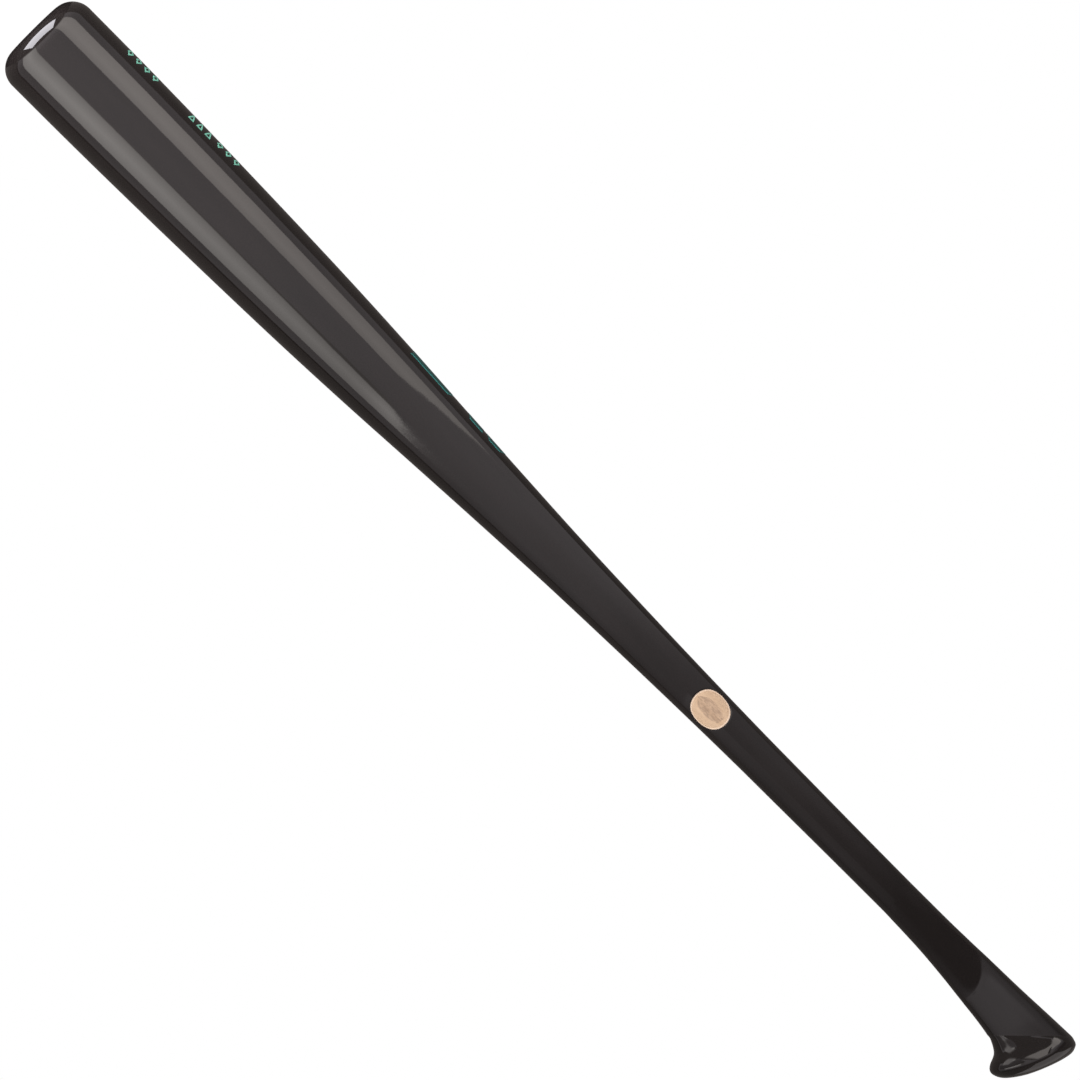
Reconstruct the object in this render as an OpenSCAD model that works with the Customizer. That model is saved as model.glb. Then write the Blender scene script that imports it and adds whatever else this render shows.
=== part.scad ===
// One-piece maple baseball bat with an axe-style handle, finished in gloss black.
// The bat stands on its barrel end: the origin is at the middle of the flat end rim, +Z runs
// along the bat to the knob, +X is the lip side of the knob and -Y is the side of the window.

/* [Bat] */
// Overall length from barrel end to knob tip
bat_length = 838.2; // [787.4:12.7:863.6]
// Largest barrel diameter
barrel_d = 63; // [58:0.5:66.5]
// Smallest handle diameter
handle_d = 22.6; // [21:0.1:25]
// Thickness of the black coat
coat_t = 0.4; // [0.3:0.05:0.5]

/* [Barrel end] */
// Radius that rounds the barrel end into the barrel
end_round = 13.8; // [8:0.2:16]
// Diameter of the cup in the barrel end
cup_d = 29; // [20:1:31]
// Depth of the cup
cup_depth = 13; // [6:1:20]

/* [Window] */
// Distance from the barrel end to the middle of the bare-wood window
window_z = 551.5; // [500:1:580]
// Diameter of the window, measured round the handle
window_d = 24.2; // [18:0.2:25]
// Thickness of the clear coat in the window
varnish_t = 0.25; // [0.2:0.05:0.28]
// Length of the ink mark along the grain
ink_l = 20; // [10:0.5:21]
// Width of the ink mark
ink_w = 10; // [5:0.2:11]

/* [Printed marks] */
// Thickness of the printed marks
print_t = 0.15; // [0.1:0.05:0.2]
// Angle from the window side round to the middle of the barrel marks
marks_angle = 74; // [70:1:110]
// Size of one barrel mark across the bat
marks_w = 11; // [6:0.5:14]
// Size of one barrel mark along the bat
marks_l = 4.6; // [3:0.2:6]
// Width of a mark's line
marks_line = 1; // [0.6:0.1:1.2]
// Angle from the window side round to the middle of the emblem
emblem_angle = 95; // [90:1:130]
// Width of the emblem across the bat
emblem_w = 24; // [18:1:30]

/* [Hidden] */
$fn = 96;
barrel_r = barrel_d / 2;
handle_r = handle_d / 2;
cup_r = cup_d / 2;
knob_length = 133.2;
turned_length = bat_length - knob_length;
ink_t = 0.1;
// Groups of barrel marks: [height of the first mark, number of marks]
low_diamonds = [49, 4];
wedges = [100.5, 3];
high_diamonds = [123, 3];
marks_pitch = 6.8;
// Emblem bars, each a list of heights with the bar's half width there as a share of the emblem's
EMBLEM_BARS = [
    [[284.5, 1], [316.5, 0.9], [319.5, 0.5]],
    [[332.5, 0.2], [335.5, 0.85], [346.5, 0.82]],
    [[348.5, 0.2], [352, 0.82], [361, 0.78], [364.5, 0.2]]
];
// Length of the prisms that cut an outline through one side of the bat
through_l = 40;
// How far a print's tube runs past the print
tube_margin = 3;
// How far below the wood's surface the ink's cutter reaches
cut_margin = 0.5;

// Turned stretch: [share of its length, share of the step from handle to barrel radius].
TAPER = [
    [0.020, 1], [0.098, 0.983], [0.184, 0.931], [0.255, 0.868], [0.326, 0.787],
    [0.397, 0.671], [0.468, 0.525], [0.539, 0.384], [0.610, 0.257], [0.681, 0.166],
    [0.752, 0.094], [0.823, 0.043], [0.880, 0.025], [0.940, 0.008], [1, 0]
];
taper_steps = 5;

// Carved stretch, one row per section, with heights from the end of the turned stretch:
// [front x, its height, back x, its height, deepest x, its height, half depth, squareness].
CARVED = [
    [11.3, 0, -11.3, 0, 0, 0, 11.3, 2], [12.3, 28, -11.45, 28, 0, 28, 11.15, 2.05],
    [13.9, 48, -11.75, 42, 0.2, 48, 10.9, 2.1], [15.6, 63.5, -12, 51, 0.4, 63.5, 10.75, 2.15],
    [16.4, 70.5, -12.35, 60, 0.6, 69, 11.1, 2.2], [17.3, 78.7, -13, 85.5, -1.2, 85, 13, 2.25],
    [18.35, 86.3, -14.05, 109.4, -2.8, 102, 14.85, 2.3], [19.3, 91.6, -14.64, 126, -4, 115, 16.1, 2.3],
    [19.9, 95, -14.6, 126.7, -2.8, 116, 18, 2.25], [24, 101.7, -14.52, 127.3, -0.8, 118, 20.3, 2.15],
    [30.3, 104.9, -14.43, 127.9, 1.4, 119.8, 22.2, 2.1], [32.8, 107.3, -14.28, 128.4, 3, 122.2, 23.25, 2.1],
    [33.1, 110.2, -14.02, 129.1, 3.8, 124.7, 23.5, 2.1], [31.2, 114.4, -13.5, 130.6, 4, 127.3, 22.3, 2.1],
    [27.2, 118.4, -12.1, 132, 3.9, 128.9, 19, 2.05], [20, 123.3, -8.3, 133.2, 3.9, 129.8, 13.3, 2],
    [12, 127, -3, 132.4, 4.1, 130.1, 6.5, 2], [4.5, 129.9, 4.5, 129.9, 4.5, 129.9, 0, 2]
];
// The row at the sharp crease where the flat sides turn into the flare
crease = 7;
carved_steps = 2;
sides = 48;
// Direction that the middle of the knob's base faces, across and along the bat
base_normal = [0.35, 0.94];
// The turned and the carved stretch meet with a small step, so no two edges coincide.
seam = 0.04;

// Shape of the turned stretch

function taper_at(k) = TAPER[max(0, min(len(TAPER) - 1, k))];
function catmull(a, b, c, d, t) =
    0.5 * (2 * b + (c - a) * t + (2 * a - 5 * b + 4 * c - d) * t * t + (3 * b - a - 3 * c + d) * t * t * t);
function taper_point(k, t, inset) =
    let (
        a = taper_at(k)[1],
        d = taper_at(k + 1)[1],
        share = catmull(taper_at(k - 1)[1], a, d, taper_at(k + 2)[1], t),
        z = taper_at(k)[0] + (taper_at(k + 1)[0] - taper_at(k)[0]) * t
    )
    [handle_r + share * (barrel_r - handle_r) - inset, z * turned_length];
function taper_side(inset) = [
    for (k = [0 : len(TAPER) - 2]) for (j = [0 : taper_steps - 1]) taper_point(k, j / taper_steps, inset),
    [handle_r - inset, turned_length]
];
// Radius of the wood or coat at height z, by walking the same taper
function radius_at(z, inset) = lookup(z, [for (p = taper_side(inset)) [p[1], p[0]]]);
function end_corner(inset) = [
    for (a = [-90 : 9 : 0])
        [barrel_r - end_round + (end_round - inset) * cos(a), end_round + (end_round - inset) * sin(a)]
];
function cup_side(inset) =
    let (mouth = asin(inset / (cup_depth + inset)))
    [for (j = [0 : 12]) let (a = 90 - (90 - mouth) * j / 12)
        [(cup_r + inset) * cos(a), (cup_depth + inset) * sin(a)]];
function turned_side(inset) = concat(cup_side(inset), end_corner(inset), taper_side(inset));

// Shape of the carved stretch

function carved_row(k, first, last) = CARVED[max(first, min(last, k))];
function carved_at(u) =
    let (
        k = min(floor(u), len(CARVED) - 2),
        first = k < crease ? 0 : crease,
        last = k < crease ? crease : len(CARVED) - 1,
        near = [for (i = [-1 : 2]) carved_row(k + i, first, last)]
    )
    catmull(near[0], near[1], near[2], near[3], u - k);
function unit(v) = v / max(norm(v), 0.0001);
// The row at u, moved inward by inset square to the surface on its front, back and side
function carved_inset(u, inset) =
    u == 0 ? CARVED[0] + inset * [-1, 0, 1, 0, 0, 0, -1, 0] :
    let (
        row = carved_at(u),
        run = carved_at(min(u + 0.05, len(CARVED) - 1)) - carved_at(u - 0.05),
        front = unit([run[0], run[1]]),
        back = unit([run[2], run[3]]),
        side = unit([run[6], run[5]])
    )
    row + inset * [-front[1], front[0], back[1], -back[0], 0, side[0], -side[1], 0];
function bulge(c, squareness) = sign(c) * pow(abs(c), 2 / squareness);
// Height at x on the arch through a section's back, deepest and front points
function arch(row, x) =
    let (to_back = x - row[2], to_deepest = x - row[4], to_front = x - row[0])
    row[3] * to_deepest * to_front / ((row[2] - row[4]) * (row[2] - row[0]))
    + row[5] * to_back * to_front / ((row[4] - row[2]) * (row[4] - row[0]))
    + row[1] * to_back * to_deepest / ((row[0] - row[2]) * (row[0] - row[4]));
function section(row) = [
    for (j = [0 : sides - 1])
        let (
            a = 360 * j / sides,
            reach = bulge(cos(a), row[7]),
            x = row[4] + (reach > 0 ? row[0] - row[4] : row[4] - row[2]) * reach
        )
        [x, row[6] * bulge(sin(a), row[7]), arch(row, x)]
];
last_u = len(CARVED) - 1;
ring_count = (len(CARVED) - 1) * carved_steps;
// Rings of one carved surface, from the flat start ring to the pole at the knob's base
function carved_rings(inset) =
    [for (r = [0 : ring_count - 1]) section(carved_inset(r / carved_steps, inset))];
function pole(inset) =
    let (row = carved_at(last_u)) [row[0] - inset * base_normal[0], 0, row[1] - inset * base_normal[1]];
function flat(rings) = [for (ring = rings) each ring];
// Triangles between the rings, and from the last ring to the pole; turned = true faces them inward
function skin(first, rings, turned) = [
    for (r = [0 : rings - 2]) for (j = [0 : sides - 1])
        let (
            a = first + r * sides + j,
            b = first + r * sides + (j + 1) % sides
        )
        each turned
            ? [[a, b, b + sides], [a, b + sides, a + sides]]
            : [[a, b + sides, b], [a, a + sides, b + sides]]
];
function cap(first, tip, turned) =
    [for (j = [0 : sides - 1])
        let (a = first + j, b = first + (j + 1) % sides) turned ? [a, b, tip] : [a, tip, b]];
// The solid inside one carved surface
module carved_solid(inset) {
    rings = carved_rings(inset);
    tip = ring_count * sides;
    translate([0, 0, turned_length])
        polyhedron(
            points = concat(flat(rings), [pole(inset)]),
            faces = concat(
                [[for (j = [0 : sides - 1]) j]],
                skin(0, ring_count, false),
                cap((ring_count - 1) * sides, tip, false)
            ),
            convexity = 4
        );
}
// The shell between an outer and an inner carved surface, open at its flat start
module carved_shell(outer, inner) {
    count = ring_count * sides + 1;
    last_ring = (ring_count - 1) * sides;
    translate([0, 0, turned_length])
        polyhedron(
            points = concat(
                flat(carved_rings(outer)), [pole(outer)], flat(carved_rings(inner)), [pole(inner)]
            ),
            faces = concat(
                skin(0, ring_count, false), cap(last_ring, count - 1, false),
                skin(count, ring_count, true), cap(count + last_ring, 2 * count - 1, true),
                [for (j = [0 : sides - 1]) [j, count + (j + 1) % sides, count + j]],
                [for (j = [0 : sides - 1]) [j, (j + 1) % sides, count + (j + 1) % sides]]
            ),
            convexity = 6
        );
}

// Patches that follow the turned stretch

// Thin tube between two depths under the surface, from height low to height high
module sleeve(low, high, outer, inner) {
    heights = [for (j = [0 : 12]) low + (high - low) * j / 12];
    rotate_extrude()
        polygon(concat(
            [for (z = heights) [radius_at(z, inner), z]],
            [for (j = [12 : -1 : 0]) [radius_at(heights[j], outer), heights[j]]]
        ));
}
// A prism through one side of the bat: its outline is drawn with x across and y along the bat
module through(angle) {
    rotate([0, 0, -angle]) rotate([90, 0, 0]) linear_extrude(through_l) children();
}
// A disc bent round the handle, as seen square on
module wrapped_disc(d) {
    r = radius_at(window_z, 0);
    polygon([for (a = [0 : 7.5 : 359])
        [r * sin(d / 2 * cos(a) / r * 180 / PI), window_z + d / 2 * sin(a)]]);
}
// The part of a thin tube round the handle that lies inside an outline on the window side
module window_sleeve(outer, inner) {
    reach = window_d / 2 + tube_margin;
    intersection() {
        sleeve(window_z - reach, window_z + reach, outer, inner);
        through(0) children();
    }
}
module ink_outline() {
    polygon([for (a = [0 : 10 : 359])
        let (wave = 1 + 0.07 * sin(3 * a) + 0.05 * sin(7 * a + 40))
        [ink_w / 2 * wave * cos(a), window_z + ink_l / 2 * wave * sin(a)]]);
}
// Corners moved towards a centre, to this share of their distance from it
function drawn_in(corners, centre, share) = [for (c = corners) centre + (c - centre) * share];
// Middle height of mark k of a group
function mark_z(group, k) = group[0] + marks_pitch * k;
module open_diamond(z) {
    corners = [[-marks_w / 2, z], [0, z - marks_l / 2], [marks_w / 2, z], [0, z + marks_l / 2]];
    share = 1 - 2 * marks_line * norm([marks_l, marks_w]) / (marks_l * marks_w);
    difference() {
        polygon(corners);
        polygon(drawn_in(corners, [0, z], share));
    }
}
module open_wedge(z) {
    corners = [[-marks_w / 2, z], [marks_w / 2, z - marks_l / 2], [marks_w / 2, z + marks_l / 2]];
    inner_r = marks_l * marks_w / (marks_l + 2 * norm([marks_l / 2, marks_w]));
    difference() {
        polygon(corners);
        polygon(drawn_in(corners, [marks_w / 2 - inner_r, z], 1 - marks_line / inner_r));
    }
}
// A bar across the bat through its stations, the same on both sides of the emblem's middle
module tapered_bar(stations) {
    half = emblem_w / 2;
    polygon(concat(
        [for (place = stations) [half * place[1], place[0]]],
        [for (j = [len(stations) - 1 : -1 : 0]) [-half * stations[j][1], stations[j][0]]]
    ));
}

// Sub-parts

module maple_billet() {
    color("burlywood") {
        rotate_extrude() polygon(concat(turned_side(coat_t), [[0, turned_length]]));
        carved_solid(coat_t - seam);
    }
}
module black_lacquer() {
    inner = turned_side(coat_t);
    color([0.13, 0.12, 0.12]) difference() {
        union() {
            rotate_extrude()
                polygon(concat(turned_side(0), [for (j = [len(inner) - 1 : -1 : 0]) inner[j]]));
            carved_shell(seam, coat_t - seam);
        }
        through(0) wrapped_disc(window_d);
    }
}
module window_varnish() {
    color([0.92, 0.84, 0.72]) difference() {
        window_sleeve(coat_t - varnish_t, coat_t) wrapped_disc(window_d);
        window_sleeve(coat_t - ink_t, coat_t + cut_margin) ink_outline();
    }
}
module ink_dot() {
    color([0.45, 0.38, 0.34]) window_sleeve(coat_t - ink_t, coat_t) ink_outline();
}
// Plain open diamonds and wedges along the barrel
module model_marks() {
    low = low_diamonds[0] - tube_margin;
    high = mark_z(high_diamonds, high_diamonds[1] - 1) + tube_margin;
    color([0.55, 0.85, 0.76]) intersection() {
        sleeve(low, high, -print_t, 0);
        through(marks_angle) {
            for (group = [low_diamonds, high_diamonds])
                for (k = [0 : group[1] - 1]) open_diamond(mark_z(group, k));
            for (k = [0 : wedges[1] - 1]) open_wedge(mark_z(wedges, k));
        }
    }
}
// Plain bars across the bat, narrower towards their ends
module side_emblem() {
    heights = [for (bar = EMBLEM_BARS) for (place = bar) place[0]];
    color([0.05, 0.45, 0.45]) intersection() {
        sleeve(min(heights) - tube_margin, max(heights) + tube_margin, -print_t, 0);
        through(emblem_angle) for (bar = EMBLEM_BARS) tapered_bar(bar);
    }
}

maple_billet();
black_lacquer();
window_varnish();
ink_dot();
model_marks();
side_emblem();
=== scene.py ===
import math

import bpy
from mathutils import Matrix, Vector


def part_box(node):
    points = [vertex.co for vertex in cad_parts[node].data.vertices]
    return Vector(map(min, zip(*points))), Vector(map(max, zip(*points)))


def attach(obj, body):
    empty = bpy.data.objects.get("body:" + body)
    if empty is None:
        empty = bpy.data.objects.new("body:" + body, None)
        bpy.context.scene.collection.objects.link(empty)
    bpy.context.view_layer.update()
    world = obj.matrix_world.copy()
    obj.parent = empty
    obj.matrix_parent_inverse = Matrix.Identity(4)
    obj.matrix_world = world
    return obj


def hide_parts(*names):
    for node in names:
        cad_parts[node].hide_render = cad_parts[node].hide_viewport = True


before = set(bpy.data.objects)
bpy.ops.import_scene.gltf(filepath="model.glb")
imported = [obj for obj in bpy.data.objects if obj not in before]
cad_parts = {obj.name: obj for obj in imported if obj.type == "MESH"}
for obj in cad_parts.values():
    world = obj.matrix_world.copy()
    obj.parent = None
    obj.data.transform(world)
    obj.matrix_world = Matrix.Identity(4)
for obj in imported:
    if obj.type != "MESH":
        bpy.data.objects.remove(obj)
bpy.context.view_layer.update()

# The bat stands on its barrel end, +Z up to the knob, +X to the knob's lip, -Y to the window.
# Shapes are worked out in millimetres, with the CAD model's own outline, and placed in metres.
MM = 0.001
BARREL_R = 31.5
HANDLE_R = 11.3
TURNED_LENGTH = 705.0
END_ROUND = 13.8
CUP_R = 14.5
CUP_DEPTH = 13.0
COAT = 0.4
COAT_INSIDE = 0.39  # the coat's inner face stays just clear of the wood
COLUMNS = 144  # points round the bat
CORNER_STEPS = 16  # in the cup and in the rounded corner of the barrel end

# Turned stretch: (share of its length, share of the step from handle to barrel radius)
TAPER = [
    (0.020, 1), (0.098, 0.983), (0.184, 0.931), (0.255, 0.868), (0.326, 0.787),
    (0.397, 0.671), (0.468, 0.525), (0.539, 0.384), (0.610, 0.257), (0.681, 0.166),
    (0.752, 0.094), (0.823, 0.043), (0.880, 0.025), (0.940, 0.008), (1, 0),
]
TAPER_STEPS = 10  # rings per row

# Carved stretch, one row per section, with heights from the end of the turned stretch:
# (front x, its height, back x, its height, deepest x, its height, half depth, squareness)
CARVED = [
    (11.3, 0, -11.3, 0, 0, 0, 11.3, 2), (12.3, 28, -11.45, 28, 0, 28, 11.15, 2.05),
    (13.9, 48, -11.75, 42, 0.2, 48, 10.9, 2.1), (15.6, 63.5, -12, 51, 0.4, 63.5, 10.75, 2.15),
    (16.4, 70.5, -12.35, 60, 0.6, 69, 11.1, 2.2), (17.3, 78.7, -13, 85.5, -1.2, 85, 13, 2.25),
    (18.35, 86.3, -14.05, 109.4, -2.8, 102, 14.85, 2.3),
    (19.3, 91.6, -14.64, 126, -4, 115, 16.1, 2.3),
    (19.9, 95, -14.6, 126.7, -2.8, 116, 18, 2.25),
    (24, 101.7, -14.52, 127.3, -0.8, 118, 20.3, 2.15),
    (30.3, 104.9, -14.43, 127.9, 1.4, 119.8, 22.2, 2.1),
    (32.8, 107.3, -14.28, 128.4, 3, 122.2, 23.25, 2.1),
    (33.1, 110.2, -14.02, 129.1, 3.8, 124.7, 23.5, 2.1),
    (31.2, 114.4, -13.5, 130.6, 4, 127.3, 22.3, 2.1),
    (27.2, 118.4, -12.1, 132, 3.9, 128.9, 19, 2.05), (20, 123.3, -8.3, 133.2, 3.9, 129.8, 13.3, 2),
    (12, 127, -3, 132.4, 4.1, 130.1, 6.5, 2), (4.5, 129.9, 4.5, 129.9, 4.5, 129.9, 0, 2),
]
CREASE = 7  # the row at the sharp crease where the flat sides turn into the flare
CARVED_STEPS = 12  # rings per row
SLOPE_REACH = 0.05  # rows to each side over which the surface's slope is taken
BASE_NORMAL = (0.35, 0.94)  # the way the middle of the knob's base faces, in x and z


# ---------------------------------------------------------------- shape of the bat

def through_points(value, *places):
    """The level at value on straight lines between (at, level) places, held past both ends."""
    if value <= places[0][0]:
        return places[0][1]
    for (a, level_a), (b, level_b) in zip(places, places[1:]):
        if value <= b:
            return level_a + (level_b - level_a) * (value - a) / (b - a)
    return places[-1][1]


def between(a, b, share):
    """The point at a share of the way from a to b, in two dimensions."""
    return a[0] + (b[0] - a[0]) * share, a[1] + (b[1] - a[1]) * share


def catmull(a, b, c, d, t):
    """The smooth curve through a, b, c and d, at share t of the way from b to c."""
    return 0.5 * (
        2 * b + (c - a) * t + (2 * a - 5 * b + 4 * c - d) * t * t + (3 * b - a - 3 * c + d) * t ** 3
    )


def turned_radius(z):
    """Radius of the finished bat at height z of its turned stretch."""
    share = min(max(z / TURNED_LENGTH, TAPER[0][0]), 1)
    k = max(i for i in range(len(TAPER) - 1) if TAPER[i][0] <= share)
    near = [TAPER[min(max(i, 0), len(TAPER) - 1)] for i in range(k - 1, k + 3)]
    t = (share - near[1][0]) / (near[2][0] - near[1][0])
    return HANDLE_R + catmull(*(row[1] for row in near), t) * (BARREL_R - HANDLE_R)


def carved_at(u):
    """The row of numbers at u, counted in rows. The crease is kept sharp."""
    k = min(int(u), len(CARVED) - 2)
    first, last = (0, CREASE) if k < CREASE else (CREASE, len(CARVED) - 1)
    near = [CARVED[min(max(i, first), last)] for i in range(k - 1, k + 3)]
    return [catmull(*values, u - k) for values in zip(*near)]


def unit(x, y):
    """(x, y) brought to length 1."""
    shortest = 1e-4
    size = max(math.hypot(x, y), shortest)
    return x / size, y / size


def carved_row(u, inset):
    """The section at u, moved inward by inset square to the surface on its front, back and side."""
    row = carved_at(u)
    if u == 0:
        move = (-1, 0, 1, 0, 0, 0, -1, 0)
    else:
        ahead = carved_at(min(u + SLOPE_REACH, len(CARVED) - 1))
        behind = carved_at(u - SLOPE_REACH)
        run = [a - b for a, b in zip(ahead, behind)]
        front, back, side = unit(run[0], run[1]), unit(run[2], run[3]), unit(run[6], run[5])
        move = (-front[1], front[0], back[1], -back[0], 0, side[0], -side[1], 0)
    return [value + inset * step for value, step in zip(row, move)]


def bulge(c, squareness):
    """A cosine or sine for an oval that is round at squareness 2 and squarer above it."""
    return math.copysign(abs(c) ** (2 / squareness), c)


def arch(row, x):
    """Height at x on the arch through a section's back, deepest and front points."""
    front_x, front_z, back_x, back_z, deep_x, deep_z = row[:6]
    return (
        back_z * (x - deep_x) * (x - front_x) / ((back_x - deep_x) * (back_x - front_x))
        + deep_z * (x - back_x) * (x - front_x) / ((deep_x - back_x) * (deep_x - front_x))
        + front_z * (x - back_x) * (x - deep_x) / ((front_x - back_x) * (front_x - deep_x))
    )


def carved_ring(u, inset):
    """Points round the section at u."""
    row = carved_row(u, inset)
    front_x, _, back_x, _, deep_x, _, half_depth, squareness = row
    ring = []
    for j in range(COLUMNS):
        a = math.tau * j / COLUMNS
        reach = bulge(math.cos(a), squareness)
        x = deep_x + (front_x - deep_x if reach > 0 else deep_x - back_x) * reach
        y = half_depth * bulge(math.sin(a), squareness)
        ring.append((x, y, TURNED_LENGTH + arch(row, x)))
    return ring


def round_ring(radius, z):
    """Points round the turned stretch at height z."""
    angles = (math.tau * j / COLUMNS for j in range(COLUMNS))
    return [(radius * math.cos(a), radius * math.sin(a), z) for a in angles]


def bat_rings(inset, window_rows=()):
    """Rings from the middle of the cup to the knob's base, with window_rows in place of the usual
    ones on their stretch. Returns the start point, the rings and the end point."""
    sphere = CUP_DEPTH + inset
    mouth = math.asin(inset / sphere)
    steps = range(1, CORNER_STEPS + 1)
    cup = [math.pi / 2 - (math.pi / 2 - mouth) * k / CORNER_STEPS for k in steps]
    corner = [math.pi / 2 * (k / CORNER_STEPS - 1) for k in range(CORNER_STEPS + 1)]
    profile = [((CUP_R + inset) * math.cos(a), sphere * math.sin(a)) for a in cup]
    profile += [
        (BARREL_R - END_ROUND + (END_ROUND - inset) * math.cos(a),
         END_ROUND + (END_ROUND - inset) * math.sin(a))
        for a in corner
    ]
    heights = [
        (low + (high - low) * k / TAPER_STEPS) * TURNED_LENGTH
        for (low, _), (high, _) in zip(TAPER, TAPER[1:])
        for k in range(TAPER_STEPS)
    ]
    if window_rows:
        clear = 1.0
        low, high = window_rows[0] - clear, window_rows[-1] + clear
        heights = sorted([*(z for z in heights if z < low or z > high), *window_rows])
    profile += [(turned_radius(z) - inset, z) for z in heights]
    rings = [round_ring(radius, z) for radius, z in profile]
    carved_rings = (len(CARVED) - 1) * CARVED_STEPS
    rings += [carved_ring(k / CARVED_STEPS, inset) for k in range(carved_rings)]
    tip = carved_at(len(CARVED) - 1)
    end = (tip[0] - inset * BASE_NORMAL[0], 0, TURNED_LENGTH + tip[1] - inset * BASE_NORMAL[1])
    return (0, 0, sphere), rings, end


# ---------------------------------------------------------------- mesh building

class Shape:
    """Points in millimetres and the faces between them."""

    def __init__(self):
        self.points, self.faces = [], []

    def add(self, points):
        """Takes points in and returns their numbers."""
        first = len(self.points)
        self.points += points
        return list(range(first, len(self.points)))

    def join(self, low, high, flip=False, closed=True):
        """Faces between two rows of point numbers, facing outward when the rows run anticlockwise
        and high is above low; flip turns them over."""
        count = len(low)
        for j in range(count if closed else count - 1):
            face = (low[j], low[(j + 1) % count], high[(j + 1) % count], high[j])
            self.faces.append(face[::-1] if flip else face)

    def fan(self, ring, tip, flip=False):
        """Triangles from a ring up to the point tip."""
        for j, point in enumerate(ring):
            face = (point, ring[(j + 1) % len(ring)], tip)
            self.faces.append(face[::-1] if flip else face)


SMOOTH_ANGLE = 22  # degrees; sharper edges than this stay sharp


def put_in_scene(name, mesh, material):
    """Adds the object that shows a mesh."""
    mesh.materials.append(material)
    made = bpy.data.objects.new(name, mesh)
    bpy.context.scene.collection.objects.link(made)
    return made


def make_piece(name, shape, material):
    """A piece of the object, which rides on its only body."""
    mesh = bpy.data.meshes.new(name)
    mesh.from_pydata([[c * MM for c in p] for p in shape.points], [], shape.faces)
    mesh.polygons.foreach_set("use_smooth", [True] * len(mesh.polygons))
    mesh.set_sharp_from_angle(angle=math.radians(SMOOTH_ANGLE))
    piece = put_in_scene(name, mesh, material)
    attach(piece, "root")
    return piece


# ---------------------------------------------------------------- the wood and its coat

window_low, window_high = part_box("window_varnish")
WINDOW_Z = (window_low.z + window_high.z) / 2 / MM
WINDOW_R = (window_high.z - window_low.z) / 2 / MM  # measured round the handle
HANDLE_AT_WINDOW = turned_radius(WINDOW_Z)
PATCH_HALF_COLUMNS = 30  # the patch of coat that holds the window reaches this far each side
PATCH_HALF_HEIGHT = 18.0
PATCH_ROWS = 40
PATCH_RINGS = 10  # between the patch's outline and the hole
PATCH_CROWDING = 1.6  # above 1 the rings stand closer together towards the outline
LIP = 0.12  # the coat's edge rounds over this much of its face
LIP_STEPS = 6


def on_handle(across, along, inset):
    """A point at a distance round the handle and along it from the window's middle."""
    angle = across / HANDLE_AT_WINDOW - math.pi / 2
    z = WINDOW_Z + along
    radius = turned_radius(z) - inset
    return radius * math.cos(angle), radius * math.sin(angle), z


def billet():
    """The wood, one closed surface just under the coat."""
    start, rings, end = bat_rings(COAT)
    shape = Shape()
    rows = [shape.add(ring) for ring in rings]
    shape.fan(rows[0], shape.add([start])[0], flip=True)
    for low, high in zip(rows, rows[1:]):
        shape.join(low, high)
    shape.fan(rows[-1], shape.add([end])[0])
    return shape


def patch_frame():
    """The window patch's outline as (across, along), anticlockwise from its low left corner, and
    the column and row of each of its points."""
    left, right = -PATCH_HALF_COLUMNS, PATCH_HALF_COLUMNS
    places = [(c, 0) for c in range(left, right)]
    places += [(right, r) for r in range(PATCH_ROWS)]
    places += [(c, PATCH_ROWS) for c in range(right, left, -1)]
    places += [(left, r) for r in range(PATCH_ROWS, 0, -1)]
    column = math.tau / COLUMNS * HANDLE_AT_WINDOW
    height = 2 * PATCH_HALF_HEIGHT / PATCH_ROWS
    outline = [(c * column, r * height - PATCH_HALF_HEIGHT) for c, r in places]
    return outline, places


def coat_face(shape, inset, hole_r, flip):
    """One face of the coat, with the window's hole in it. Returns the hole's points in order, and
    their angles round it."""
    step = 2 * PATCH_HALF_HEIGHT / PATCH_ROWS
    window_rows = [WINDOW_Z - PATCH_HALF_HEIGHT + step * r for r in range(PATCH_ROWS + 1)]
    start, rings, end = bat_rings(inset, window_rows)
    heights = [ring[0][2] for ring in rings]
    first = min(range(len(rings)), key=lambda k: abs(heights[k] - window_rows[0]))
    window_column = COLUMNS * 3 // 4  # the one that faces -Y
    rows = [shape.add(ring) for ring in rings]
    shape.fan(rows[0], shape.add([start])[0], flip=not flip)
    left, right = window_column - PATCH_HALF_COLUMNS, window_column + PATCH_HALF_COLUMNS
    for k, (low, high) in enumerate(zip(rows, rows[1:])):
        if first <= k < first + PATCH_ROWS:
            order = [*range(right, COLUMNS), *range(left + 1)]
            shape.join([low[j] for j in order], [high[j] for j in order], flip, closed=False)
        else:
            shape.join(low, high, flip)
    shape.fan(rows[-1], shape.add([end])[0], flip)

    outline, places = patch_frame()
    outer = [rows[first + r][window_column + c] for c, r in places]
    angles = [math.atan2(along, across) for across, along in outline]
    hole = [(hole_r * math.cos(a), hole_r * math.sin(a)) for a in angles]
    for k in reversed(range(PATCH_RINGS)):
        share = 1 - (1 - k / PATCH_RINGS) ** PATCH_CROWDING
        inner = shape.add([on_handle(*between(h, o, share), inset) for h, o in zip(hole, outline)])
        shape.join(outer, inner, flip)
        outer = inner
    return outer, angles


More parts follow.
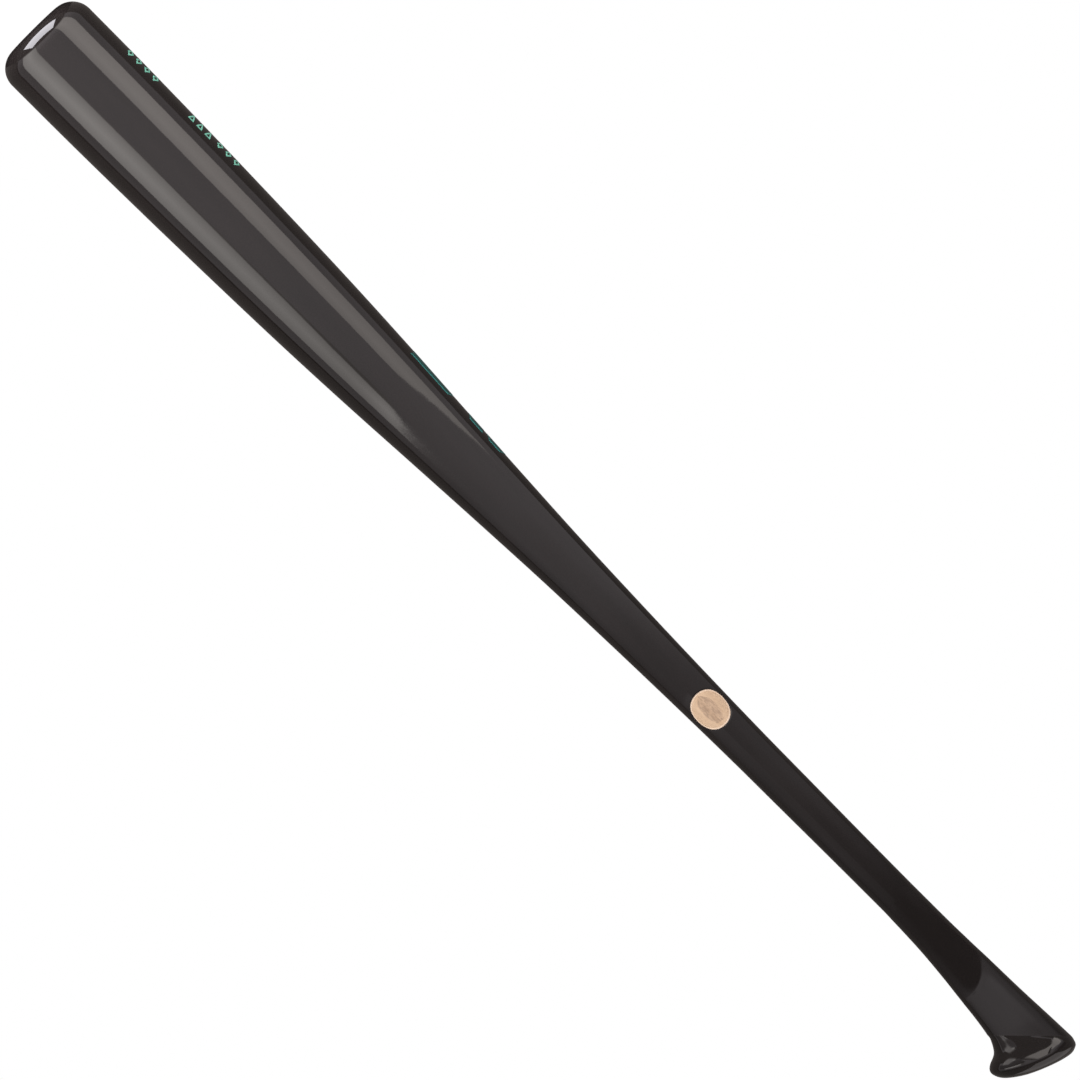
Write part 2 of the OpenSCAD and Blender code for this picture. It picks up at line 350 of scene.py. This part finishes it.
def lacquer():
    """The coat: its outer face, the rounded edge of the window and its inner face, closed."""
    shape = Shape()
    outer, angles = coat_face(shape, 0, WINDOW_R + LIP, flip=False)
    inner, _ = coat_face(shape, COAT_INSIDE, WINDOW_R, flip=True)
    previous = outer
    for k in range(1, LIP_STEPS + 1):
        turn = math.pi / 2 * k / LIP_STEPS
        radius = WINDOW_R + LIP * (1 - math.sin(turn))
        inset = LIP * (1 - math.cos(turn))
        edge = [on_handle(radius * math.cos(a), radius * math.sin(a), inset) for a in angles]
        ring = shape.add(edge)
        shape.join(previous, ring)
        previous = ring
    shape.join(previous, inner)
    return shape


def layer(outline, top, bottom, rings=12):
    """A closed layer on the handle, from the middle out to an outline of (across, along) points.
    top gives its upper inset at a share of the way out, and bottom is its lower inset."""
    shape = Shape()
    faces = []
    for inset_at, flip in ((top, False), (lambda share: bottom, True)):
        middle = shape.add([on_handle(0, 0, inset_at(0))])[0]
        rows = []
        for k in range(1, rings + 1):
            share = k / rings
            row = [on_handle(x * share, y * share, inset_at(share)) for x, y in outline]
            rows.append(shape.add(row))
        shape.fan(rows[0], middle, flip)
        for inner, outer in zip(rows, rows[1:]):
            shape.join(outer, inner, flip)
        faces.append(rows[-1])
    shape.join(faces[1], faces[0])
    return shape


def circle(radius):
    """An outline for layer."""
    count = 120
    return [
        (radius * math.cos(math.tau * k / count), radius * math.sin(math.tau * k / count))
        for k in range(count)
    ]


def window_layer():
    """The clear coat in the window, a shallow dish whose rim climbs up the coat's edge."""
    middle_inset, rim_inset, bottom_inset = 0.17, 0.1, 0.345
    gap = 0.04  # from the coat's edge
    steepness = 24  # how late the top turns up towards the rim
    return layer(
        circle(WINDOW_R - gap),
        lambda share: middle_inset + (rim_inset - middle_inset) * share ** steepness,
        bottom_inset,
        rings=30,
    )


def ink_layer():
    """The test ink, a wavy ellipse along the grain."""
    ink_low, ink_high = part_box("ink_dot")
    half_l = (ink_high.z - ink_low.z) / 2 / MM
    half_w = 5.5
    top_inset, bottom_inset = 0.37, 0.395
    count = 96
    outline = []
    for k in range(count):
        a = math.tau * k / count
        wave = 0.93 + 0.04 * math.sin(3 * a) + 0.03 * math.sin(7 * a + 0.7)
        outline.append((half_w * wave * math.cos(a), half_l * wave * math.sin(a)))
    return layer(outline, lambda share: top_inset, bottom_inset)


# ---------------------------------------------------------------- printed marks

def on_barrel(across, z, turn, proud):
    """A point seen square on at a distance across a mark whose middle is turned round the barrel
    by turn degrees from the window side towards -X."""
    radius = turned_radius(z)
    angle = math.asin(across / radius) - math.pi / 2 - math.radians(turn)
    return (radius + proud) * math.cos(angle), (radius + proud) * math.sin(angle), z


def slab(shape, grid, turn, proud, sunk, closed=False):
    """A thin closed plate on the barrel over a grid of (across, z) points; closed joins its last
    row to its first."""
    top = [shape.add([on_barrel(x, z, turn, proud) for x, z in row]) for row in grid]
    bottom = [shape.add([on_barrel(x, z, turn, sunk) for x, z in row]) for row in grid]
    pairs = [(k, k + 1) for k in range(len(grid) - 1)]
    if closed:
        pairs.append((len(grid) - 1, 0))
    for a, b in pairs:
        shape.join(top[a], top[b], flip=True, closed=False)
        shape.join(bottom[a], bottom[b], closed=False)
        shape.faces.append((top[a][0], top[b][0], bottom[b][0], bottom[a][0])[::-1])
        shape.faces.append((top[a][-1], top[b][-1], bottom[b][-1], bottom[a][-1]))
    if not closed:
        shape.join(top[0], bottom[0], flip=True, closed=False)
        shape.join(top[-1], bottom[-1], closed=False)


def ring_grid(outer, inner, steps=8, across=3):
    """Rows of a frame between two outlines with the same corners: steps rows to each side, and
    across faces in each."""
    grid = []
    for k in range(len(outer)):
        n = (k + 1) % len(outer)
        for j in range(steps):
            a = between(outer[k], outer[n], j / steps)
            b = between(inner[k], inner[n], j / steps)
            grid.append([between(a, b, i / across) for i in range(across + 1)])
    return grid


MARKS_TURN = 74  # degrees round the barrel, from the window side towards -X
MARK_W, MARK_L, MARK_LINE = 11.0, 4.6, 1.0  # round the barrel, along it, and the line's width
MARK_PITCH = 6.8
PRINT_T = 0.14
SUNK = -0.02  # prints bed this far into the coat


def drawn_in(corners, centre, share):
    """Corners moved towards a centre, to this share of their distance from it."""
    return [between(centre, corner, share) for corner in corners]


def diamond(z):
    """Outline of a diamond mark and of the hole that leaves a line of even width."""
    outline = [(-MARK_W / 2, z), (0, z - MARK_L / 2), (MARK_W / 2, z), (0, z + MARK_L / 2)]
    share = 1 - 2 * MARK_LINE * math.hypot(MARK_L, MARK_W) / (MARK_L * MARK_W)
    return outline, drawn_in(outline, (0, z), share)


def wedge(z):
    """The same for a mark of three corners, drawn in towards the middle of its inner circle."""
    outline = [(-MARK_W / 2, z), (MARK_W / 2, z - MARK_L / 2), (MARK_W / 2, z + MARK_L / 2)]
    inner_r = MARK_L * MARK_W / (MARK_L + 2 * math.hypot(MARK_L / 2, MARK_W))
    return outline, drawn_in(outline, (MARK_W / 2 - inner_r, z), 1 - MARK_LINE / inner_r)


def marks():
    """Rows of plain open diamonds and wedges."""
    shape = Shape()
    for mark, first_z, count in ((diamond, 49, 4), (wedge, 100.5, 3), (diamond, 123, 3)):
        for k in range(count):
            outer, inner = mark(first_z + MARK_PITCH * k)
            slab(shape, ring_grid(outer, inner), MARKS_TURN, PRINT_T, SUNK, closed=True)
    return shape


EMBLEM_TURN = 95
EMBLEM_HALF = 12
# Each bar: its heights, with its half width there as a share of the emblem's
EMBLEM_BARS = [
    [(284.5, 1), (316.5, 0.9), (319.5, 0.5)],
    [(332.5, 0.2), (335.5, 0.85), (346.5, 0.82)],
    [(348.5, 0.2), (352, 0.82), (361, 0.78), (364.5, 0.2)],
]
EMBLEM_EDGE = 0.7
EMBLEM_FILL_T = PRINT_T * 0.7  # the fill is thinner than its border
BAR_ROWS = 32
BAR_COLUMNS = 24
BAR_LEAST_HALF = 0.05  # an inset bar's half width never falls below this


def bar_rows(bar, edge):
    """Heights and half widths up the bar, inside an even edge."""
    low, high = bar[0][0] + edge, bar[-1][0] - edge
    heights = [low + (high - low) * k / BAR_ROWS for k in range(BAR_ROWS + 1)]
    return [(z, max(EMBLEM_HALF * through_points(z, *bar) - edge, BAR_LEAST_HALF)) for z in heights]


def emblem_fill():
    """The dark middle of each bar, inside its border."""
    shape = Shape()
    shares = [2 * i / BAR_COLUMNS - 1 for i in range(BAR_COLUMNS + 1)]
    for bar in EMBLEM_BARS:
        grid = [[(half * share, z) for share in shares] for z, half in bar_rows(bar, EMBLEM_EDGE)]
        slab(shape, grid, EMBLEM_TURN, EMBLEM_FILL_T, SUNK)
    return shape


def emblem_border():
    """A closed frame round each bar: up its right side, across, down its left side and back."""
    shape = Shape()
    for bar in EMBLEM_BARS:
        outer, inner = (
            [(half, z) for z, half in rows] + [(-half, z) for z, half in reversed(rows)]
            for rows in (bar_rows(bar, 0.0), bar_rows(bar, EMBLEM_EDGE))
        )
        slab(shape, ring_grid(outer, inner, steps=1), EMBLEM_TURN, PRINT_T, SUNK, closed=True)
    return shape


# ---------------------------------------------------------------- materials

def feed(tree, socket, value):
    """Gives a socket its value, or the output that feeds it."""
    if isinstance(value, bpy.types.NodeSocket):
        tree.links.new(value, socket)
    else:
        socket.default_value = value


def node(tree, kind, inputs=None, **settings):
    """Adds a node. inputs gives its sockets' values, or the outputs that feed them."""
    made = tree.nodes.new("ShaderNode" + kind)
    for key, value in settings.items():
        setattr(made, key, value)
    for key, value in (inputs or {}).items():
        feed(tree, made.inputs[key], value)
    return made


def rgb(r, g, b):
    return (r, g, b, 1)


BLACK = rgb(0, 0, 0)
WHITE = rgb(1, 1, 1)


def new_material(name):
    material = bpy.data.materials.new(name)
    material.use_nodes = True
    return material, material.node_tree, material.node_tree.nodes["Principled BSDF"]


def stretched(tree, scale):
    """Object coordinates, scaled so that textures run along the bat."""
    place = node(tree, "TexCoord").outputs["Object"]
    return node(tree, "Mapping", {"Vector": place, "Scale": scale}).outputs["Vector"]


def noise(tree, vector, scale, detail=4, roughness=0.5, distortion=0):
    inputs = {
        "Vector": vector, "Scale": scale, "Detail": detail, "Roughness": roughness,
        "Distortion": distortion,
    }
    return node(tree, "TexNoise", inputs).outputs["Fac"]


def span(tree, value, low, high, to_low=0.0, to_high=1.0):
    """value moved from low..high to to_low..to_high, and held within it."""
    inputs = {
        "Value": value, "From Min": low, "From Max": high, "To Min": to_low, "To Max": to_high,
    }
    return node(tree, "MapRange", inputs).outputs["Result"]


def mix(tree, factor, a, b):
    """Colour a at factor 0, colour b at 1. A Mix node's colour sockets are numbers 6, 7 and 2."""
    return node(tree, "Mix", {0: factor, 6: a, 7: b}, data_type="RGBA").outputs[2]


def maths(tree, operation, a, b=0.0):
    return node(tree, "Math", {0: a, 1: b}, operation=operation).outputs[0]


def distance(tree, a, b):
    """Length of the vector (a, b)."""
    squares = (maths(tree, "MULTIPLY", value, value) for value in (a, b))
    return maths(tree, "SQRT", maths(tree, "ADD", *squares))


def lacquer_material():
    """Gloss black over sealed grain: faint lines along the bat and a little orange peel."""
    material, tree, shader = new_material("gloss_black_lacquer")
    grain = noise(tree, stretched(tree, (1, 1, 0.03)), 900, detail=5, roughness=0.6)
    peel = noise(tree, stretched(tree, (1, 1, 0.5)), 260, detail=2)
    haze = noise(tree, stretched(tree, (1, 1, 0.15)), 70, detail=5, roughness=0.6)
    height = maths(
        tree, "ADD", maths(tree, "MULTIPLY", grain, 0.5), maths(tree, "MULTIPLY", peel, 0.9)
    )
    bump = node(tree, "Bump", {"Height": height, "Strength": 1.0, "Distance": 0.000012})
    dark, light = rgb(0.010, 0.0085, 0.008), rgb(0.014, 0.0115, 0.011)
    colour = mix(tree, span(tree, haze, 0.3, 0.7), dark, light)
    feed(tree, shader.inputs["Base Color"], colour)
    feed(tree, shader.inputs["Roughness"], span(tree, haze, 0.3, 0.7, 0.04, 0.07))
    feed(tree, shader.inputs["Normal"], bump.outputs[0])
    feed(tree, shader.inputs["IOR"], 1.5)
    return material


def maple(name, inked):
    """Sanded maple: fine lines, darker growth bands and short flecks. inked adds a grey-brown
    smear; the rest has a painted highlight: a paler ring just inside the window's edge."""
    material, tree, shader = new_material(name)
    bands = noise(tree, stretched(tree, (1, 1, 0.02)), 240, detail=3, distortion=0.4)
    lines = noise(tree, stretched(tree, (1, 1, 0.03)), 1500, detail=4)
    flecks = noise(tree, stretched(tree, (1, 1, 0.22)), 1900, detail=1)
    pale, tan = rgb(0.74, 0.58, 0.44), rgb(0.69, 0.53, 0.39)
    colour = mix(tree, span(tree, bands, 0.35, 0.65), pale, tan)
    colour = mix(tree, span(tree, lines, 0.35, 0.7, 0, 0.35), colour, rgb(0.62, 0.45, 0.31))
    colour = mix(tree, span(tree, flecks, 0.62, 0.72, 0, 0.35), colour, rgb(0.52, 0.36, 0.24))
    place = node(tree, "TexCoord").outputs["Object"]
    parts = node(tree, "SeparateXYZ", {"Vector": place}).outputs
    along = maths(tree, "SUBTRACT", parts["Z"], WINDOW_Z * MM)
    if inked:
        half_width, half_length, below_middle = 5.3 * MM, 11.5 * MM, 0.6 * MM
        x = maths(tree, "DIVIDE", parts["X"], half_width)
        z = maths(tree, "DIVIDE", maths(tree, "ADD", along, below_middle), half_length)
        ragged = noise(tree, stretched(tree, (1, 1, 0.2)), 700, detail=4, roughness=0.6)
        wander = maths(tree, "MULTIPLY", maths(tree, "SUBTRACT", ragged, 0.5), 0.9)
        soak = span(tree, maths(tree, "ADD", distance(tree, x, z), wander), 0.8, 1.0, 1, 0)
        streaks = noise(tree, stretched(tree, (1, 1, 0.3)), 1100, detail=3, roughness=0.7)
        soak = maths(tree, "MULTIPLY", soak, span(tree, streaks, 0.42, 0.6, 0.35, 1))
        colour = mix(tree, maths(tree, "MULTIPLY", soak, 0.66), colour, rgb(0.30, 0.21, 0.17))
    else:
        angle = maths(tree, "ARCTAN2", parts["X"], maths(tree, "MULTIPLY", parts["Y"], -1.0))
        across = maths(tree, "MULTIPLY", angle, HANDLE_AT_WINDOW * MM)
        out = maths(tree, "SUBTRACT", distance(tree, across, along), WINDOW_R * MM)
        # Painted highlight: a thin ring just inside the window's edge is painted paler, in place of
        # the light that the clear coat's rim catches
        highlight_start, highlight_full = -1.1 * MM, -0.6 * MM
        rim = span(tree, out, highlight_start, highlight_full)
        colour = mix(tree, rim, colour, rgb(0.95, 0.80, 0.68))
    feed(tree, shader.inputs["Base Color"], colour)
    bump = node(tree, "Bump", {"Height": lines, "Strength": 0.6, "Distance": 0.00004})
    feed(tree, shader.inputs["Normal"], bump.outputs[0])
    feed(tree, shader.inputs["Roughness"], 0.5)
    return material


def clear_material():
    """Clear gloss: see-through, with the coat's own reflections on top."""
    material, tree, shader = new_material("clear_gloss")
    ripple = noise(tree, stretched(tree, (1, 1, 0.4)), 300, detail=2)
    bump = node(tree, "Bump", {"Height": ripple, "Strength": 1.0, "Distance": 0.00001}).outputs[0]
    # Only the layer's outer side is glossy, since the wood is right under its inner one
    glossy = node(tree, "BsdfGlossy", {"Roughness": 0.08, "Normal": bump})
    through = node(tree, "BsdfTransparent", {"Color": rgb(1.0, 0.985, 0.96)})
    fresnel = node(tree, "Fresnel", {"IOR": 1.45, "Normal": bump})
    outside = maths(tree, "SUBTRACT", 1.0, node(tree, "NewGeometry").outputs["Backfacing"])
    share = maths(tree, "MULTIPLY", fresnel.outputs[0], outside)
    both = node(tree, "MixShader", {0: share, 1: through.outputs[0], 2: glossy.outputs[0]})
    feed(tree, tree.nodes["Material Output"].inputs["Surface"], both.outputs[0])
    tree.nodes.remove(shader)
    return material


def print_material(name, colour, worn):
    """Gloss ink with a faint screen-print mottle."""
    material, tree, shader = new_material(name)
    mottle = noise(tree, stretched(tree, (1, 1, 0.6)), 800, detail=4, roughness=0.65)
    shade = mix(tree, span(tree, mottle, 0.35, 0.68), colour, worn)
    feed(tree, shader.inputs["Base Color"], shade)
    feed(tree, shader.inputs["Roughness"], span(tree, mottle, 0.3, 0.7, 0.2, 0.35))
    bump = node(tree, "Bump", {"Height": mottle, "Strength": 0.5, "Distance": 0.00003})
    feed(tree, shader.inputs["Normal"], bump.outputs[0])
    return material


# ---------------------------------------------------------------- the pieces

wood = make_piece("billet_wood", billet(), maple("sanded_maple", inked=False))
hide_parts("maple_billet")

coat = make_piece("lacquer_coat", lacquer(), lacquer_material())
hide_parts("black_lacquer")

window = make_piece("window_clear_coat", window_layer(), clear_material())
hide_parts("window_varnish")

ink = make_piece("ink_smear", ink_layer(), maple("inked_maple", inked=True))
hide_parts("ink_dot")

mint = print_material("mint_print", rgb(0.20, 0.55, 0.42), rgb(0.14, 0.42, 0.32))
barrel_marks = make_piece("barrel_marks", marks(), mint)
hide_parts("model_marks")

deep_teal = print_material("deep_teal_print", rgb(0.006, 0.06, 0.055), rgb(0.004, 0.04, 0.038))
emblem_bars = make_piece("emblem_bars", emblem_fill(), deep_teal)
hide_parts("side_emblem")

light_teal = print_material("light_teal_print", rgb(0.05, 0.30, 0.28), rgb(0.035, 0.23, 0.22))
make_piece("emblem_border", emblem_border(), light_teal)


# ---------------------------------------------------------------- light, floor and camera
# From here on, lengths are in metres.

def glow(name, colour, strength, fades=False):
    """A material that gives light from its front face only, scaled by the card's own "level". One
    that fades turns see-through where its level is low, and the others turn black."""
    material, tree, shader = new_material(name)
    tree.nodes.remove(shader)
    level = node(tree, "Attribute", attribute_name="level").outputs["Fac"]
    cover = maths(tree, "SUBTRACT", 1.0, node(tree, "NewGeometry").outputs["Backfacing"])
    power = strength
    if fades:
        cover = maths(tree, "MULTIPLY", cover, level)
    else:
        power = maths(tree, "MULTIPLY", level, strength)
    emission = node(tree, "Emission", {"Color": colour, "Strength": power})
    through = node(tree, "BsdfTransparent")
    both = node(tree, "MixShader", {0: cover, 1: through.outputs[0], 2: emission.outputs[0]})
    feed(tree, tree.nodes["Material Output"].inputs["Surface"], both.outputs[0])
    return material


def card(name, points, faces, levels, material):
    """A light card: seen in reflections, but not by the camera, and without a shadow."""
    mesh = bpy.data.meshes.new(name)
    mesh.from_pydata(points, [], faces)
    mesh.attributes.new("level", "FLOAT", "POINT").data.foreach_set("value", levels)
    made = put_in_scene(name, mesh, material)
    made.visible_camera = False
    made.visible_shadow = False
    return made


def bent_card(name, material, start, end, low, high, distance, level=lambda azimuth, z: 1.0):
    """A card bent round the bat from azimuth start to end, in degrees from -Y towards +X. high is
    a height, or gives the height at an azimuth. It faces the bat."""
    columns, rows = 40, 90
    points, levels, faces = [], [], []
    for i in range(columns + 1):
        azimuth = start + (end - start) * i / columns
        a = math.radians(azimuth)
        top = high(azimuth) if callable(high) else high
        for j in range(rows + 1):
            z = low + (top - low) * j / rows
            points.append((distance * math.sin(a), -distance * math.cos(a), z))
            levels.append(level(azimuth, z))
    for i in range(columns):
        for j in range(rows):
            k = i * (rows + 1) + j
            faces.append((k, k + 1, k + rows + 2, k + rows + 1))
    card(name, points, faces, levels, material)


def level_card(name, material, x_range, y_range, z, level=lambda x, y: 1.0, facing=1):
    """A flat card that lies level at height z. It faces up, or down where facing is -1. level
    gives its strength at (x, y)."""
    (west, east), (front, rear) = x_range, y_range
    steps = 40
    points, levels, faces = [], [], []
    for i in range(steps + 1):
        x = west + (east - west) * i / steps
        for j in range(steps + 1):
            y = front + (rear - front) * j / steps
            points.append((x, y, z))
            levels.append(level(x, y))
    for i in range(steps):
        for j in range(steps):
            k = i * (steps + 1) + j
            faces.append((k, k + steps + 1, k + steps + 2, k + 1)[::facing])
    return card(name, points, faces, levels, material)


def ease(value, low, high):
    """0 below low, 1 above high and smooth between."""
    t = min(max((value - low) / (high - low), 0), 1)
    return t * t * (3 - 2 * t)


def dimmer_sides(azimuth, middle, half_width, fall):
    """1 in the middle of a softbox and 1 - fall at its sides."""
    roundness = 1.2
    return 1 - fall * abs((azimuth - middle) / half_width) ** roundness


# The softboxes' tops end the bright stripes on the barrel, in a taper.

def lip_box_top(azimuth):
    return through_points(
        azimuth, (35, 0.4215), (43, 0.4297), (48, 0.4292), (54, 0.4302), (72, 0.4215)
    )


def lip_box_level(azimuth, z):
    dim = 0.2  # its level beyond the near edge
    near_edge = through_points(z, (0.1, 28), (0.28, 30.5), (0.4, 35))
    across = dimmer_sides(azimuth, middle=52, half_width=23, fall=0.3)
    across = dim + (across - dim) * ease(azimuth, near_edge - 1, near_edge + 1)
    along = through_points(z, (0.05, 1), (0.36, 0.62), (0.39, 0.68), (0.42, 0.85))
    return across * along * ease(z, -1.25, -0.95)


def back_box_top(azimuth):
    return through_points(
        -azimuth, (40, 0.4), (47, 0.418), (58, 0.428), (66, 0.437), (75, 0.444), (83, 0.4505)
    )


def back_box_level(azimuth, z):
    across = dimmer_sides(azimuth, middle=-57, half_width=22, fall=0.2)
    return across * through_points(z, (0.06, 1), (0.28, 0.76), (0.4, 0.74)) * ease(z, -1.2, -0.9)


def wrap_level(azimuth, z):
    """One level round the barrel and another round the handle, dimmer towards the knob."""
    low = through_points(azimuth, (-105, 0.62), (-80, 0.7), (-40, 1), (28, 1), (80, 0.62))
    high = through_points(
        azimuth, (-105, 0.75), (-80, 0.95), (-50, 1.05), (0, 0.9), (60, 0.75), (96, 0.35)
    )
    mixed = low + (high - low) * ease(z, 0.3, 0.5)
    middle_dip, side_rise, side = 0.12, 0.4, 60
    near_knob = side_rise * min(abs(azimuth) / side, 1) ** 2 - middle_dip
    mixed *= 1 + ease(z, 0.6, 0.68) * near_knob
    return mixed * ease(z, -1.35, -1.1) * through_points(
        z, (-0.9, 1.4), (-0.5, 1.05), (0.1, 1), (0.54, 0.95), (0.58, 0.6), (0.62, 0.46),
        (0.67, 0.38), (0.71, 0.24), (0.76, 0.05),
    )


def knob_panel_level(x, y):
    """Soft edged: one patch in front of the bat and one to its side, with a dark corner between
    them for the crease to reflect."""
    least = 0.06  # the corner isn't quite black
    near_edge = through_points(x, (-0.42, 0), (-0.3, -0.1), (-0.22, -0.17), (-0.06, -0.29))
    far_edge = through_points(x, (-0.45, -0.35), (-0.34, -0.4), (-0.2, -0.9))
    front = ease(near_edge - y, 0, 0.05) * ease(y, far_edge, far_edge + 0.1)
    side = ease(-0.34 - x, 0, 0.06) * ease(y, -0.3, -0.2) * ease(0.2 - y, 0, 0.1)
    front_ends = ease(0.12 - x, 0, 0.1) * ease(x, -0.5, -0.42)
    return max(front * front_ends, side * ease(x, -1.1, -0.95), least)


def knob_spot_level(x, y):
    """A soft-edged oblong."""
    (mid_x, half_x), (mid_y, half_y) = (0.12, 0.07), (-0.085, 0.055)
    return ease(half_x - abs(x - mid_x), 0, 0.04) * ease(half_y - abs(y - mid_y), 0, 0.03)


def top_panel_level(x, y):
    """Dimmer behind the bat."""
    return 1 - 0.65 * ease(y, -0.1, 0.9)


bent_card(
    "lip_side_softbox", glow("lip_side_light", rgb(1, 0.955, 0.92), 4.3),
    start=26, end=75, low=-1.25, high=lip_box_top, distance=1.2, level=lip_box_level,
)
bent_card(
    "back_side_softbox", glow("back_side_light", rgb(1, 0.93, 0.89), 3.6),
    start=-83, end=-40, low=-1.2, high=back_box_top, distance=1.2, level=back_box_level,
)
wrap_light = glow("wrap_light", rgb(1, 0.94, 0.97), 0.88)
bent_card(
    "studio_wrap", wrap_light,
    start=-105, end=96, low=-1.4, high=0.95, distance=1.35, level=wrap_level,
)
# A near piece of the same wrap, which keeps the softbox out of the knob's flare
bent_card(
    "near_wrap", wrap_light,
    start=22, end=88, low=0.55, high=0.712, distance=0.25, level=wrap_level,
)
bent_card(
    "black_flag", glow("flag_black", BLACK, 0),
    start=96.5, end=101, low=-1.0, high=0.6, distance=1.3,
)
level_card(
    "end_panel", glow("end_light", rgb(0.96, 0.94, 1.0), 13),
    x_range=(-0.13, 0.115), y_range=(-0.155, -0.01), z=-0.2,
)
# Just under the barrel end: it keeps the end panel off the far side of the rim
level_card(
    "end_flag", glow("end_flag_black", BLACK, 0),
    x_range=(-0.04, 0.04), y_range=(-0.016, 0.04), z=-0.01,
)
KNOB_COLOUR, KNOB_STRENGTH = rgb(1, 0.93, 0.88), 2.4
# Only reflections show these, so that they don't light or shade the wood and the prints
knob_cards = [
    level_card(
        "knob_front_panel", glow("knob_front_light", KNOB_COLOUR, KNOB_STRENGTH),
        x_range=(-0.42, 0.12), y_range=(-0.9, -0.013), z=0.55, level=knob_panel_level,
    ),
    level_card(
        "knob_side_panel", glow("knob_side_light", KNOB_COLOUR, KNOB_STRENGTH, fades=True),
        x_range=(-1.1, -0.42), y_range=(-0.9, 0.25), z=0.55, level=knob_panel_level,
    ),
    level_card(
        "knob_spot", glow("spot_light", rgb(1, 0.95, 0.93), 1.9, fades=True),
        x_range=(0.05, 0.19), y_range=(-0.14, -0.03), z=0.65, level=knob_spot_level,
    ),
]
for knob_card in knob_cards:
    knob_card.visible_diffuse = False
level_card(
    "top_panel", glow("top_light", rgb(1, 0.94, 0.93), 1.25),
    x_range=(-1, 1), y_range=(-1.8, 0.9), z=1.6, level=top_panel_level, facing=-1,
)


def front_fill():
    """A soft fill for the wood and the prints only, which the gloss coat doesn't show."""
    half_width, y, top = 0.6, -1.5, 1.1
    points = [(x, y, z) for x, z in (
        (-half_width, 0), (half_width, 0), (half_width, top), (-half_width, top),
    )]
    light = glow("fill_light", rgb(0.9, 0.95, 1), 1.1)
    made = card("front_fill", points, [(3, 2, 1, 0)], [1] * len(points), light)
    made.visible_glossy = False


def floor():
    """A pale round floor, so nearly as bright as the backdrop that its edge hardly shows."""
    radius, count = 0.9, 96
    angles = [math.tau * k / count for k in range(count)]
    points = [(radius * math.cos(a), radius * math.sin(a), 0) for a in angles]
    mesh = bpy.data.meshes.new("floor")
    mesh.from_pydata(points, [], [tuple(range(count))])
    material, tree, shader = new_material("pale_floor")
    feed(tree, shader.inputs["Base Color"], rgb(0.12, 0.12, 0.12))
    feed(tree, shader.inputs["Roughness"], 0.9)
    feed(tree, shader.inputs["Emission Color"], WHITE)
    feed(tree, shader.inputs["Emission Strength"], 0.97)
    made = put_in_scene("floor", mesh, material)
    made.visible_glossy = False
    made.visible_diffuse = False
    made.visible_shadow = False


front_fill()
floor()

world = bpy.data.worlds.new("studio")
bpy.context.scene.world = world
world.use_nodes = True
sky = world.node_tree
# The camera sees a white backdrop; everything else is lit by a dim warm room
backdrop = node(sky, "Background", {"Color": WHITE, "Strength": 1.0})
room = node(sky, "Background", {"Color": rgb(1, 0.9, 0.84), "Strength": 0.13})
seen = node(sky, "LightPath").outputs["Is Camera Ray"]
both = node(sky, "MixShader", {0: seen, 1: room.outputs[0], 2: backdrop.outputs[0]})
feed(sky, sky.nodes["World Output"].inputs["Surface"], both.outputs[0])

scene = bpy.context.scene
scene.view_settings.view_transform = "Standard"
camera_data = bpy.data.cameras.new("camera")
camera_data.lens = 600
camera_data.sensor_width = 36
camera_data.clip_end = 100
camera = bpy.data.objects.new("camera", camera_data)
scene.collection.objects.link(camera)
scene.camera = camera
# The camera is level with the bat's middle, square to it, and rolled so the bat crosses the frame
CAMERA_PLACE = (0.0007, -10.355, 0.4133)
right = Vector((-0.7086, 0, 0.7056)).normalized()
up = Vector((-0.7056, 0, -0.7086)).normalized()
turn = Matrix((right, up, right.cross(up))).transposed()
camera.matrix_world = Matrix.Translation(CAMERA_PLACE) @ turn.to_4x4()
